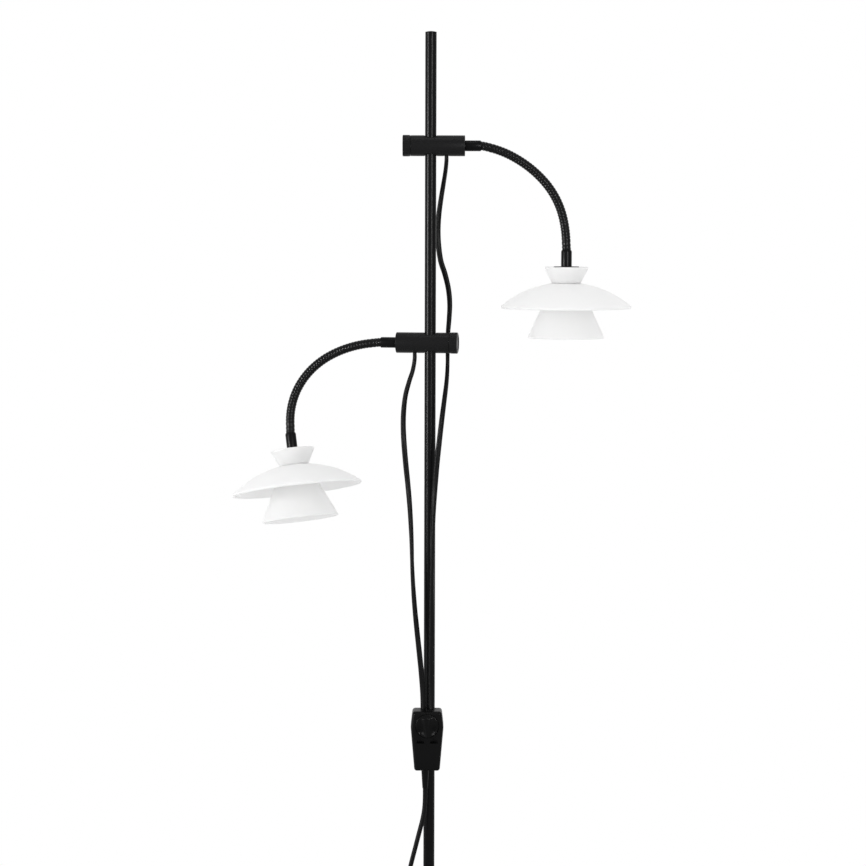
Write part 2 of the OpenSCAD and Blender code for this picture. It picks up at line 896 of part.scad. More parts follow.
base_plate();
base_pad();
base_bolt();
pole_tube(plate_top);  // pole_lower
pole_tube(joint_z[0] + joint_h);  // pole_middle
pole_tube(joint_z[1] + joint_h);  // pole_upper
pole_couplers();
pole_end_plug();
dimmer_back();
dimmer_front();
dimmer_board();
dimmer_screws();
dimmer_dial();
mains_relief();
mains_cord();
mains_coil();
mains_plug();
plug_pins();
upper_lamp_cord();
lower_lamp_cord();
for (arm = ARMS) {
    clamp_bush(arm);
    clamp_barrel(arm);
    clamp_shoe(arm);
    clamp_knob(arm);
    neck_root(arm);
    for (k = [0:link_count - 1])
        neck_link(arm, k);
    shade_ferrule(arm);
    shade_cap(arm);
    lampholder(arm);
    ring_nut(arm);
    collar_glass(arm);
    dome_glass(arm);
    cone_glass(arm);
    bulb(arm);
}
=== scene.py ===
import bpy
import bmesh
import json
import math
from mathutils import Matrix, Vector


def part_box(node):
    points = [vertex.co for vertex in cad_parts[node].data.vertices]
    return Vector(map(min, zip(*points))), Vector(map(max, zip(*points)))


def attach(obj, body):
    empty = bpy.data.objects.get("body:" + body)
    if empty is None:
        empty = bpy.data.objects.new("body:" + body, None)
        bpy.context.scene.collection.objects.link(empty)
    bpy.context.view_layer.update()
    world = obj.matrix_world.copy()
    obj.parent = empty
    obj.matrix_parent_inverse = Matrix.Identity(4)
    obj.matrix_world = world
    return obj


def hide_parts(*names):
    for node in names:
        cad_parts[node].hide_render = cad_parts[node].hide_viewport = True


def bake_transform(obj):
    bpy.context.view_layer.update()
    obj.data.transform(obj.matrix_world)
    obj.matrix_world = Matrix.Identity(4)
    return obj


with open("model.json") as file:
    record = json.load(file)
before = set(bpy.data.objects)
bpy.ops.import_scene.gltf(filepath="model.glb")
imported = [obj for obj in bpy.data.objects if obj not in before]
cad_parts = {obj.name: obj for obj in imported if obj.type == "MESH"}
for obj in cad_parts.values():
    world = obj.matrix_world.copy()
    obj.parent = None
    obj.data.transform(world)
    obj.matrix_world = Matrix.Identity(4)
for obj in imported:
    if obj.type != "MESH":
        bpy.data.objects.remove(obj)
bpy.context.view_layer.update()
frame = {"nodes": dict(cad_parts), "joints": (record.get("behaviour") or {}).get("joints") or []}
print("frame loaded")

mm = 0.001
tiny = 1e-6
nodes = frame["nodes"]
joints = {joint["name"]: joint for joint in frame["joints"]}
arms = ("upper", "lower")


# camera

photo = {"size": 866, "focalPixels": 2400, "sensor": 36, "near": 0.05, "far": 60, "tilt": 5.0, "roll": -0.157,
         "place": (3.26, -2554.24, 1244.08)}


def makeCamera():
    data = bpy.data.cameras.new("photoCamera")
    data.sensor_width = photo["sensor"]
    data.lens = photo["focalPixels"] / photo["size"] * photo["sensor"]
    data.clip_start, data.clip_end = photo["near"], photo["far"]
    camera = bpy.data.objects.new("photoCamera", data)
    bpy.context.scene.collection.objects.link(camera)
    tilt = Matrix.Rotation(math.radians(90 - photo["tilt"]), 4, "X")
    turn = tilt @ Matrix.Rotation(math.radians(-photo["roll"]), 4, "Z")
    camera.matrix_world = Matrix.Translation(Vector(photo["place"]) * mm) @ turn
    bpy.context.scene.camera = camera


makeCamera()
print("camera set")


# shader groups: each gives a colour, a value or a normal

grainNoise = {"fineDetail": 3, "coarseDetail": 2, "coarseScale": 0.3, "coarseShare": 0.4}
patchNoise = {"detail": 4, "roughness": 0.6, "from": 0.35, "to": 0.65}
tintNoise = {"detail": 3}


def newGroup(name, inputs, outputs):
    group = bpy.data.node_groups.new(name, "ShaderNodeTree")
    for label, kind, value in inputs:
        socket = group.interface.new_socket(label, in_out="INPUT", socket_type="NodeSocket" + kind)
        socket.default_value = value
    for label, kind in outputs:
        group.interface.new_socket(label, in_out="OUTPUT", socket_type="NodeSocket" + kind)
    return group, group.nodes.new("NodeGroupInput"), group.nodes.new("NodeGroupOutput")


def addNoise(group, scale, detail):
    # noise over the piece's own coordinates, at the scale that a socket gives
    place = group.nodes.new("ShaderNodeTexCoord")
    noise = group.nodes.new("ShaderNodeTexNoise")
    noise.inputs["Detail"].default_value = detail
    group.links.new(place.outputs["Object"], noise.inputs["Vector"])
    group.links.new(scale, noise.inputs["Scale"])
    return noise


def makeGrain():
    # fine relief of paint and mouldings, from two sizes of noise
    group, into, out = newGroup(
        "surfaceGrain",
        [("Scale", "Float", 900.0), ("Depth", "Float", 0.2), ("Distance", "Float", 0.0001)],
        [("Normal", "Vector")])
    smaller = group.nodes.new("ShaderNodeMath")
    smaller.operation = "MULTIPLY"
    smaller.inputs[1].default_value = grainNoise["coarseScale"]
    mixed = group.nodes.new("ShaderNodeMix")
    mixed.inputs["Factor"].default_value = grainNoise["coarseShare"]
    bump = group.nodes.new("ShaderNodeBump")
    link = group.links.new
    link(into.outputs["Scale"], smaller.inputs[0])
    fine = addNoise(group, into.outputs["Scale"], grainNoise["fineDetail"])
    coarse = addNoise(group, smaller.outputs[0], grainNoise["coarseDetail"])
    link(fine.outputs["Fac"], mixed.inputs["A"])
    link(coarse.outputs["Fac"], mixed.inputs["B"])
    link(mixed.outputs["Result"], bump.inputs["Height"])
    link(into.outputs["Depth"], bump.inputs["Strength"])
    link(into.outputs["Distance"], bump.inputs["Distance"])
    link(bump.outputs["Normal"], out.inputs["Normal"])
    return group


def makeHandling():
    # slow patches where a surface has been wiped or touched, from Low to High
    group, into, out = newGroup(
        "handlingPatches",
        [("Scale", "Float", 18.0), ("Low", "Float", 0.3), ("High", "Float", 0.45)],
        [("Value", "Float")])
    noise = addNoise(group, into.outputs["Scale"], patchNoise["detail"])
    noise.inputs["Roughness"].default_value = patchNoise["roughness"]
    spread = group.nodes.new("ShaderNodeMapRange")
    spread.inputs["From Min"].default_value = patchNoise["from"]
    spread.inputs["From Max"].default_value = patchNoise["to"]
    link = group.links.new
    link(noise.outputs["Fac"], spread.inputs["Value"])
    link(into.outputs["Low"], spread.inputs["To Min"])
    link(into.outputs["High"], spread.inputs["To Max"])
    link(spread.outputs["Result"], out.inputs["Value"])
    return group


def makeTint():
    # two close colours mixed by a soft noise
    group, into, out = newGroup(
        "tintDrift",
        [("Dark", "Color", (0, 0, 0, 1)), ("Light", "Color", (1, 1, 1, 1)), ("Scale", "Float", 30.0)],
        [("Colour", "Color")])
    noise = addNoise(group, into.outputs["Scale"], tintNoise["detail"])
    mixed = group.nodes.new("ShaderNodeMix")
    mixed.data_type = "RGBA"
    link = group.links.new
    link(noise.outputs["Fac"], mixed.inputs[0])
    link(into.outputs["Dark"], mixed.inputs[6])       # 6, 7 and output 2 are the Mix node's colour sockets
    link(into.outputs["Light"], mixed.inputs[7])
    link(mixed.outputs[2], out.inputs["Colour"])
    return group


grainGroup = makeGrain()
handlingGroup = makeHandling()
tintGroup = makeTint()


def placeGroup(material, group, values):
    node = material.node_tree.nodes.new("ShaderNodeGroup")
    node.node_tree = group
    for label, value in values.items():
        node.inputs[label].default_value = value
    return node


def finishMaterial(name, look):
    material = bpy.data.materials.new(name)
    material.use_nodes = True
    shader = material.node_tree.nodes["Principled BSDF"]
    link = material.node_tree.links.new
    low, high = look["rough"]
    tint = placeGroup(material, tintGroup, {
        "Dark": (*look["dark"], 1), "Light": (*look["light"], 1), "Scale": look["tintScale"]})
    patches = placeGroup(material, handlingGroup, {"Scale": look["patchScale"], "Low": low, "High": high})
    grain = placeGroup(material, grainGroup, {
        "Scale": look["grainScale"], "Depth": look["grainDepth"], "Distance": look["grainHeight"]})
    link(tint.outputs["Colour"], shader.inputs["Base Color"])
    link(patches.outputs["Value"], shader.inputs["Roughness"])
    link(grain.outputs["Normal"], shader.inputs["Normal"])
    for label, value in look.get("shader", {}).items():
        shader.inputs[label].default_value = value
    return material


# scales are in noise cells per metre, grainHeight is in metres
looks = {
    "satinPaint": {
        "dark": (0.0034, 0.0034, 0.0037), "light": (0.0050, 0.0050, 0.0053), "tintScale": 40, "patchScale": 14,
        "rough": (0.26, 0.33), "grainScale": 1400, "grainDepth": 0.10, "grainHeight": 0.00006,
        "shader": {"Specular IOR Level": 0.05}},
    # the same black satin paint as the pole, with a lighter colour: painted light that makes the clamps look brighter
    "clampPaintPaintedLight": {
        "dark": (0.0090, 0.0090, 0.0094), "light": (0.0118, 0.0118, 0.0122), "tintScale": 40, "patchScale": 14,
        "rough": (0.28, 0.35), "grainScale": 1400, "grainDepth": 0.10, "grainHeight": 0.00006,
        "shader": {"Specular IOR Level": 0.05}},
    "neckPaint": {
        "dark": (0.0034, 0.0034, 0.0037), "light": (0.0050, 0.0050, 0.0053), "tintScale": 60, "patchScale": 30,
        "rough": (0.23, 0.29), "grainScale": 1800, "grainDepth": 0.08, "grainHeight": 0.00005,
        "shader": {"Specular IOR Level": 0.09}},
    "mouldedPlastic": {
        "dark": (0.0018, 0.0018, 0.0020), "light": (0.0028, 0.0028, 0.0030), "tintScale": 50, "patchScale": 40,
        "rough": (0.30, 0.37), "grainScale": 2600, "grainDepth": 0.10, "grainHeight": 0.00004,
        "shader": {"Specular IOR Level": 0.06}},
    "cableSheath": {
        "dark": (0.0036, 0.0036, 0.0038), "light": (0.0060, 0.0060, 0.0063), "tintScale": 90, "patchScale": 30,
        "rough": (0.36, 0.48), "grainScale": 1600, "grainDepth": 0.12, "grainHeight": 0.00006,
        "shader": {"Specular IOR Level": 0.05}},
    "opalGlass": {
        "dark": (0.895, 0.895, 0.892), "light": (0.925, 0.925, 0.922), "tintScale": 16, "patchScale": 20,
        "rough": (0.42, 0.52), "grainScale": 700, "grainDepth": 0.03, "grainHeight": 0.00004,
        "shader": {"Specular IOR Level": 0.1, "Subsurface Weight": 1.0, "Subsurface Scale": 0.006,
                   "Subsurface Radius": (1, 1, 1)}},
    "frostedCapsule": {
        "dark": (0.86, 0.85, 0.82), "light": (0.92, 0.91, 0.88), "tintScale": 60, "patchScale": 60,
        "rough": (0.30, 0.42), "grainScale": 3000, "grainDepth": 0.06, "grainHeight": 0.00004},
    "feltPad": {
        "dark": (0.030, 0.030, 0.032), "light": (0.065, 0.065, 0.068), "tintScale": 400, "patchScale": 60,
        "rough": (0.88, 0.97), "grainScale": 2200, "grainDepth": 0.8, "grainHeight": 0.0003,
        "shader": {"Sheen Weight": 0.3}},
    "greyNylon": {
        "dark": (0.040, 0.040, 0.042), "light": (0.055, 0.055, 0.057), "tintScale": 80, "patchScale": 50,
        "rough": (0.40, 0.52), "grainScale": 1800, "grainDepth": 0.12, "grainHeight": 0.00006},
    "zincSteel": {
        "dark": (0.50, 0.51, 0.53), "light": (0.62, 0.63, 0.65), "tintScale": 200, "patchScale": 120,
        "rough": (0.28, 0.42), "grainScale": 2400, "grainDepth": 0.12, "grainHeight": 0.00005,
        "shader": {"Metallic": 1.0}},
    "platedPin": {
        "dark": (0.66, 0.66, 0.65), "light": (0.74, 0.74, 0.73), "tintScale": 120, "patchScale": 90,
        "rough": (0.16, 0.26), "grainScale": 2600, "grainDepth": 0.05, "grainHeight": 0.00003,
        "shader": {"Metallic": 1.0}},
    "circuitBoard": {
        "dark": (0.020, 0.060, 0.035), "light": (0.030, 0.085, 0.050), "tintScale": 300, "patchScale": 90,
        "rough": (0.38, 0.50), "grainScale": 1500, "grainDepth": 0.10, "grainHeight": 0.00006},
}
materials = {name: finishMaterial(name, look) for name, look in looks.items()}
print("materials made")


# mesh helpers: profiles, loops and sections are in mm, points and vertices in metres

# degrees between two faces from which their edge shades sharp
crease = {"usual": 35, "cord": 60, "plug": 40, "sleeve": 30, "knob": 28, "neck": 80, "glass": 50, "dial": 50}


def shadeSmooth(mesh, angle):
    mesh.polygons.foreach_set("use_smooth", [True] * len(mesh.polygons))
    mesh.set_sharp_from_angle(angle=math.radians(angle))


def meshPiece(name, verts, faces, finish, angle=crease["usual"]):
    mesh = bpy.data.meshes.new(name)
    mesh.from_pydata([tuple(v) for v in verts], [], faces)
    mesh.validate()
    shadeSmooth(mesh, angle)
    mesh.materials.append(materials[finish])
    piece = bpy.data.objects.new(name, mesh)
    bpy.context.scene.collection.objects.link(piece)
    return piece


def cutWith(piece, cutters):
    for cutter in cutters:
        modifier = piece.modifiers.new("cut", "BOOLEAN")
        modifier.object = cutter
        modifier.solver = "EXACT"
    depsgraph = bpy.context.evaluated_depsgraph_get()
    mesh = bpy.data.meshes.new_from_object(piece.evaluated_get(depsgraph))
    piece.modifiers.clear()
    piece.data = mesh
    for cutter in cutters:
        bpy.data.objects.remove(cutter)
    shadeSmooth(mesh, crease["usual"])


def onCircle(centre, radius, angle):
    a = math.radians(angle)
    return (centre[0] + radius * math.cos(a), centre[1] + radius * math.sin(a))


def arc(centre, radius, start, end, steps):
    return [onCircle(centre, radius, start + (end - start) * i / steps) for i in range(steps + 1)]


def edgeAt(radius, height, offsets):
    # a run of profile points round one edge, each given by its distance from that edge
    return [(radius + out, height + up) for out, up in offsets]


def frameAlong(origin, direction, side=(0, 1, 0)):
    # matrix whose Z axis is the direction
    z = Vector(direction).normalized()
    x = Vector(side).cross(z)
    x = x.normalized() if x.length > tiny else Vector((1, 0, 0))
    y = z.cross(x)
    turn = Matrix((x, y, z)).transposed().to_4x4()
    return Matrix.Translation(Vector(origin)) @ turn


def lathe(profile, spot, segments, closed=False):
    # profile is (radius, height), turned about the spot matrix's Z axis
    verts, rows = [], []
    for radius, height in profile:
        if radius < tiny:
            rows.append([len(verts)] * segments)
            verts.append(spot @ Vector((0, 0, height * mm)))
            continue
        rows.append(list(range(len(verts), len(verts) + segments)))
        for k in range(segments):
            a = 2 * math.pi * k / segments
            verts.append(spot @ Vector((radius * mm * math.cos(a), radius * mm * math.sin(a), height * mm)))
    faces = []
    pairs = list(zip(rows, rows[1:])) + ([(rows[-1], rows[0])] if closed else [])
    for low, high in pairs:
        for k in range(segments):
            corners = [low[k], low[(k + 1) % segments], high[(k + 1) % segments], high[k]]
            corners = [c for i, c in enumerate(corners) if c not in corners[:i]]
            if len(corners) > 2:
                faces.append(corners)
    return verts, faces


def turnedPiece(name, profile, spot, finish, segments, closed=False, angle=crease["usual"]):
    verts, faces = lathe(profile, spot, segments, closed)
    return meshPiece(name, verts, faces, finish, angle)


def gridFaces(rows, count, closed=False):
    # quads between rows of count points, and from the last row to the first where closed
    return [[i * count + k, i * count + (k + 1) % count, (i + 1) % rows * count + (k + 1) % count,
             (i + 1) % rows * count + k]
            for i in range(rows if closed else rows - 1) for k in range(count)]


def loft(loops):
    # skin over loops of the same count of points, capped at both ends
    rows, count = len(loops), len(loops[0])
    faces = gridFaces(rows, count)
    faces.append(list(reversed(range(count))))
    faces.append([(rows - 1) * count + k for k in range(count)])
    return [point for loop in loops for point in loop], faces


def sweep(path, section, twistPerMetre=0.0):
    # section is (x, y), carried along the path without rolling, apart from the twist
    loops = []
    across = Vector((0, 1, 0))
    walked = 0.0
    for i, point in enumerate(path):
        ahead = (path[min(i + 1, len(path) - 1)] - path[max(i - 1, 0)]).normalized()
        across = (across - ahead * across.dot(ahead)).normalized()
        up = ahead.cross(across)
        walked += (point - path[i - 1]).length if i else 0.0
        turn = twistPerMetre * walked * 2 * math.pi
        c, s = math.cos(turn), math.sin(turn)
        loops.append([point + across * ((x * c - y * s) * mm) + up * ((x * s + y * c) * mm) for x, y in section])
    return loft(loops)


def smoothPath(points, perSpan):
    # Catmull-Rom curve through given points
    ends = [points[0] * 2 - points[1]] + points + [points[-1] * 2 - points[-2]]
    path = []
    for i in range(1, len(ends) - 2):
        a, b, c, d = ends[i - 1:i + 3]
        for step in range(perSpan):
            t = step / perSpan
            square, cube = (2 * a - 5 * b + 4 * c - d) * t * t, (3 * b - a - 3 * c + d) * t ** 3
            path.append(0.5 * ((2 * b) + (c - a) * t + square + cube))
    path.append(points[-1].copy())
    return path


def pathLength(path):
    return sum((b - a).length for a, b in zip(path, path[1:]))


def ease(x):
    x = min(max(x, 0.0), 1.0)
    return x * x * (3 - 2 * x)


# cords: the routes repeat the CAD's points, in mm, but the upper one's depth is set so that it passes behind the
# lower clamp

mains = {"diameter": 5.0, "sides": 12, "stepsPerPoint": 4, "coilTurns": 7, "ringsPerTurn": 36, "coilRadius": 39.6,
         "coilGap": 0.5, "coilCentre": (-169.0, 5.0), "coilStart": 270, "climbTurns": 0.5, "floorHeight": 2.6,
         "tailLead": 10.0, "tailDip": 0.2, "tailRadius": 24.0, "tailCentreX": -184.0, "tailSteps": 16,
         "plugLead": 4.0, "plugHeight": 6.95}
mainsRoute = [
    (-4.2, -13, 638), (-4.2, -13, 628), (-4.8, -13.6, 616), (-6.8, -14.6, 604), (-10.4, -15.8, 590), (-15, -17, 572),
    (-19.8, -18, 553), (-26, -19.4, 525), (-34, -21.6, 480), (-41, -24, 430), (-47.4, -26.4, 370), (-52, -28.6, 310),
    (-55, -30, 250), (-57, -31.2, 190), (-58.4, -32, 140), (-59.6, -32.6, 100), (-61.2, -33, 70), (-64.4, -33.4, 46),
    (-70, -33.8, 28), (-78, -34, 18.6), (-88, -34.3, 13.8), (-99, -34.6, 12.7), (-112, -34.6, 12.6), (-121, -34.6, 11),
    (-130, -34.6, 7.6), (-139, -34.6, 4.4), (-148, -34.6, 2.8), (-156, -34.6, 2.6), (-164, -34.6, 2.6),
]
coilPitch = mains["diameter"] + mains["coilGap"]
coilHalf = mains["coilTurns"] / 2


def coilPoint(t):
    # t turns from the start: inwards on the floor, then outwards on top
    radius = mains["coilRadius"] - coilPitch * (coilHalf - abs(t - coilHalf))
    height = mains["floorHeight"] + coilPitch * ease((t - coilHalf) / mains["climbTurns"] + 0.5)
    x, y = onCircle(mains["coilCentre"], radius, mains["coilStart"] - 360 * t)
    return Vector((x, y, height)) * mm


def makeMains():
    path = smoothPath([Vector(p) * mm for p in mainsRoute], mains["stepsPerPoint"])
    rings = mains["ringsPerTurn"]
    path += [coilPoint(i / rings) for i in range(mains["coilTurns"] * rings + 1)]
    end = path[-1] / mm
    radius, steps, rise = mains["tailRadius"], mains["tailSteps"], mains["plugHeight"] - end.z
    tail = [Vector((end.x - mains["diameter"], end.y, end.z)),
            Vector((end.x - mains["tailLead"], end.y, end.z - mains["tailDip"]))]
    for i, (x, y) in enumerate(arc((mains["tailCentreX"], end.y - radius), radius, 90, 270, steps)):
        tail.append(Vector((x, y, end.z + rise * i / steps)))
    tail.append(Vector((mains["tailCentreX"] + mains["plugLead"], end.y - 2 * radius, mains["plugHeight"])))
    path += [p * mm for p in tail]
    section = arc((0, 0), mains["diameter"] / 2, 0, 360, mains["sides"])[:-1]
    verts, faces = sweep(path, section)
    cord = meshPiece("mainsCord", verts, faces, "cableSheath", crease["cord"])
    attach(cord, "stand")
    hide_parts("mains_cord", "mains_coil")
    return cord, path


mainsCord, mainsPath = makeMains()

# split is the route point where the short top piece ends
lampCord = {"lobe": 2.1, "spread": 0.85, "wrap": 0.92, "lobeSteps": 9, "width": 5.9, "twist": 2.2, "split": 4,
            "stepsPerPoint": 5}
lampRoutes = {
    "upper": [
        (16.7, 0, 1317.5), (16.7, 0.6, 1309), (15.6, 7.5, 1298), (13.4, 14, 1284), (11, 15.3, 1269),
        (8.8, 15.5, 1252), (8, 15.5, 1236), (8.6, 15.5, 1221), (11, 15.5, 1204), (15.5, 15.5, 1190),
        (19.3, 15.5, 1174), (20.8, 15.5, 1158), (20.2, 15.5, 1142), (19, 15.5, 1126), (18.7, 15.5, 1108),
        (18.6, 13.5, 1091), (17.6, 6.5, 1075), (15.2, -4, 1056), (12.6, -12.6, 1036), (10.1, -15, 1014),
        (7.6, -15.2, 990), (5.4, -15.2, 962), (3.8, -15.2, 936), (2.9, -15.1, 900), (2.6, -14.7, 850),
        (2.5, -13.8, 790), (2.5, -13, 736), (2.5, -13, 721.5),
    ],
    "lower": [
        (-16.54, 2.32, 1109), (-16.54, 2.32, 1099), (-18.6, 1.2, 1087), (-22.5, -0.4, 1075), (-26.5, -2.2, 1059),
        (-28.4, -3.9, 1038), (-28, -5.4, 1016), (-25.8, -6.8, 989), (-23.2, -8.2, 964), (-21, -9.4, 938),
        (-19.4, -10.4, 908), (-18.6, -11.2, 880), (-17.4, -11.8, 856), (-15.6, -12.4, 832), (-13.2, -12.8, 808),
        (-10.6, -13, 784), (-8.2, -13, 760), (-6.8, -13, 739), (-6.5, -13, 721.5),
    ],
}


def twinSection(turn):
    # two round cores side by side under one sheath, turned by so many radians
    lobe, spread, steps = lampCord["lobe"], lampCord["spread"], lampCord["lobeSteps"]
    reach = (180 - math.degrees(math.acos(spread / lobe))) * lampCord["wrap"]
    section = arc((spread, 0), lobe, -reach, reach, steps) + arc((-spread, 0), lobe, 180 - reach, 180 + reach, steps)
    c, s = math.cos(turn), math.sin(turn)
    return [(x * c - y * s, x * s + y * c) for x, y in section]


def makeLampCord(arm):
    whole = smoothPath([Vector(p) * mm for p in lampRoutes[arm]], lampCord["stepsPerPoint"])
    cut = lampCord["split"] * lampCord["stepsPerPoint"]
    top, run = whole[:cut + 1], whole[cut:]
    for part, path, walked in (("Top", top, 0.0), ("Run", run, pathLength(top))):
        section = twinSection(lampCord["twist"] * walked * 2 * math.pi)
        verts, faces = sweep(path, section, lampCord["twist"])
        piece = meshPiece(f"{arm}LampCord{part}", verts, faces, "cableSheath", crease["cord"])
        if part == "Top":
            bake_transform(piece)
        else:
            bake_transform(piece)
            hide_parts(f"{arm}_lamp_cord")


for arm in arms:
    makeLampCord(arm)
print("cords laid")


# plug and coil tie

plug = {
    "start": (-180.0, -82.6, 6.95), "tail": 20.0,
    # shell: distance past the tail, width, height, corner radius
    "stations": [(0, 15.4, 10.4, 4.6), (2, 16.4, 11.0, 4.8), (9, 18.4, 12.0, 4.6), (14, 20.6, 12.6, 4.2),
                 (20, 26.4, 13.2, 4.0), (26, 32.0, 13.6, 4.0), (30, 34.8, 13.7, 4.0), (34.8, 35.2, 13.7, 4.0),
                 (35.6, 34.6, 13.1, 3.7), (36, 33.2, 11.8, 3.2)],
    # sleeve: a rib is (out, along) from its own start
    "ribs": 6, "firstRib": 2.0, "ribPitch": 2.9, "rib": [(0, 0), (0, 1.9), (-0.5, 2.1), (-0.5, 2.7)],
    "thinEnd": 3.1, "taper": 1.5, "clearance": 0.35, "thickEnd": 4.6, "overlap": 0.6, "sleeveSides": 32,
}
coilTie = {"width": 8.0, "thickness": 0.7, "angle": 35.0, "slackAcross": 0.4, "slackUp": 0.2, "corner": 2.7,
           "cornerSteps": 6, "lift": 0.15, "liftShare": 0.6, "lowest": 0.1}


def roundedLoop(width, height, corner, steps=5):
    w, h = width / 2 - corner, height / 2 - corner
    loop = []
    for cx, cy, start in ((w, h, 0), (-w, h, 90), (-w, -h, 180), (w, -h, 270)):
        loop += arc((cx, cy), corner, start, start + 90, steps)
    return loop


def makePlug():
    start, tail = Vector(plug["start"]), plug["tail"]
    loops = [[(start + Vector((tail + along, y, z))) * mm for y, z in roundedLoop(width, height, corner)]
             for along, width, height, corner in plug["stations"]]
    verts, faces = loft(loops)
    shell = meshPiece("mainsPlugShell", verts, faces, "mouldedPlastic", crease["plug"])
    profile = [(0, 0), (mains["diameter"] / 2 + plug["clearance"], 0)]
    for i in range(plug["ribs"]):
        along = plug["firstRib"] + i * plug["ribPitch"]
        profile += edgeAt(plug["thinEnd"] + plug["taper"] * along / tail, along, plug["rib"])
    profile += [(plug["thickEnd"], tail + plug["overlap"]), (0, tail + plug["overlap"])]
    sleeve = turnedPiece("mainsPlugSleeve", profile, frameAlong(start * mm, (1, 0, 0)), "mouldedPlastic",
                         plug["sleeveSides"], angle=crease["sleeve"])
    for piece in (shell, sleeve):
        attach(piece, "stand")
    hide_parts("mains_plug")
    return [shell, sleeve]


def makeTie():
    # flat band round all the turns at one place of the coil
    wide, tall = coilHalf * coilPitch, 2 * mains["diameter"] + mains["coilGap"]
    a = math.radians(coilTie["angle"])
    out = Vector((math.cos(a), math.sin(a), 0))
    along = Vector((-math.sin(a), math.cos(a), 0))
    centre = Vector((*mains["coilCentre"], 0)) + out * (mains["coilRadius"] - wide / 2)
    lift = mains["floorHeight"] - mains["diameter"] / 2 + tall / 2 + coilTie["lift"]
    lift += coilTie["thickness"] * coilTie["liftShare"]
    loops = []
    # inner and outer edge on one side of the band, then on the other
    for shift, grow in ((-0.5, 0.0), (-0.5, 1.0), (0.5, 1.0), (0.5, 0.0)):
        thick = coilTie["thickness"] * grow
        loop = roundedLoop(wide + mains["diameter"] + coilTie["slackAcross"] + 2 * thick,
                           tall + coilTie["slackUp"] + 2 * thick, coilTie["corner"] + thick, coilTie["cornerSteps"])
        edge = centre + along * (coilTie["width"] * shift)
        loops.append([(edge + out * x + Vector((0, 0, max(y + lift, coilTie["lowest"])))) * mm for x, y in loop])
    verts = [point for loop in loops for point in loop]
    faces = gridFaces(len(loops), len(loops[0]), closed=True)
    tie = meshPiece("coilTie", verts, faces, "mouldedPlastic", crease["plug"])
    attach(tie, "stand")
    return tie


plugPieces = makePlug()
tiePiece = makeTie()
print("plug and tie made")


# stand

stand = {"poleRadius": 6.0, "poleWall": 1.0, "poleBevel": 0.25, "poleSides": 64, "plateTop": 10.0,
         "plateRadius": 120.0, "plateSides": 128, "edge": 3.0, "edgeSteps": 8, "foot": 0.5, "padTop": 2.0,
         "boltRadius": 3.2, "headRadius": 8.5, "headDepth": 4.0}


def makeStand():
    ground = Matrix.Identity(4)
    r, wall, bevel = stand["poleRadius"], stand["poleWall"], stand["poleBevel"]
    for node in ("pole_lower", "pole_middle", "pole_upper"):
        low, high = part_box(node)
        profile = edgeAt(r, low.z / mm, [(-wall, 0), (-bevel, 0), (0, bevel)])
        profile += edgeAt(r, high.z / mm, [(0, -bevel), (-bevel, 0), (-wall, 0)])
        piece = turnedPiece("tube" + node.split("_")[1].capitalize(), profile, ground, "satinPaint",
                            stand["poleSides"], closed=True)
        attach(piece, "stand")
        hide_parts(node)
    edge, top, radius, pad = stand["edge"], stand["plateTop"], stand["plateRadius"], stand["padTop"]
    bolt, head, deep, foot = stand["boltRadius"], stand["headRadius"], stand["headDepth"], stand["foot"]
    profile = [(head, pad + deep), (head, pad), (radius - foot, pad), (radius, pad + foot)]
    profile += arc((radius - edge, top - edge), edge, 0, 90, stand["edgeSteps"])[:-1]
    profile += [(radius - edge, top), (bolt, top), (bolt, pad + deep)]
    plate = turnedPiece("basePlate", profile, ground, "satinPaint", stand["plateSides"], closed=True)
    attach(plate, "stand")
    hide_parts("base_plate")


makeStand()
print("stand made")


# arms: heights along a barrel are from the pole's axis towards the neck

clamp = {
    "radius": 11.0, "back": -21.0, "end": 36.3, "bevel": 0.6, "backBevel": 0.25, "bevelSteps": 4, "sides": 72,
    "bore": 7.05, "boreReach": 20, "boreSides": 64,
    "inside": 6.05, "insideMargin": 5, "insideSides": 48,
    "exit": 16.7, "exitHole": [(0, 1), (3.2, 1), (3.2, 10), (4.1, 11.2), (0, 11.2)], "exitSides": 32,
}
knob = {
    "radius": 11.3, "back": -29.8, "front": -21.4, "dish": [(0, 0.6), (8.0, 0.6), (8.3, 0)],
    "backEdge": [(-1.0, 0), (-0.3, 0.3), (0, 1.0)], "frontEdge": [(0, -1.3), (-0.2, -1.0), (-0.2, -0.2), (-0.4, 0)],
    "grooves": 36, "sidesPerGroove": 4, "grooveDepth": 0.35, "grooveBack": 0.9, "grooveFront": 1.5,
    "rimBand": 0.1, "washer": 0.7, "washerGap": 0.08, "overlap": 0.2, "screwRadius": 6, "screwTip": -12.1,
    "screwSides": 48,
}
neck = {
    "bends": 8, "rootEnd": 53.2, "rootGap": 0.1, "ferruleRadius": 5.7, "ferruleSides": 48,
    "startEdge": [(-0.6, 0), (-0.15, 0.2), (0, 0.7)], "endEdge": [(0, -0.8), (-0.2, -0.25), (-0.7, 0)],
    "crest": 4.77, "root": 4.12, "crestPower": 2.4, "ribsPerLink": 6.8, "linkPitch": 22, "lastShare": 0.53,
    "stepsPerRib": 9, "leastSteps": 8, "sides": 28, "lead": 2.9, "tip": 0.8, "lastBend": {"upper": 3.0, "lower": 5.5},
}


def armFrame(arm):
    pivots = [Vector(joints[f"{arm}_neck_bend_{k + 1}"]["pos_m"]) for k in range(neck["bends"])]
    hinge = Vector(joints[f"{arm}_neck_bend_1"]["axis"])
    lastLink = (pivots[-1] - pivots[-2]).normalized()
    return {"centre": Vector(joints[f"{arm}_clamp_swivel"]["pos_m"]),
            "outward": -Vector(joints[f"{arm}_knob_turn"]["axis"]), "pivots": pivots, "hinge": hinge,
            "headAxis": Matrix.Rotation(math.radians(neck["lastBend"][arm]), 3, hinge) @ lastLink}


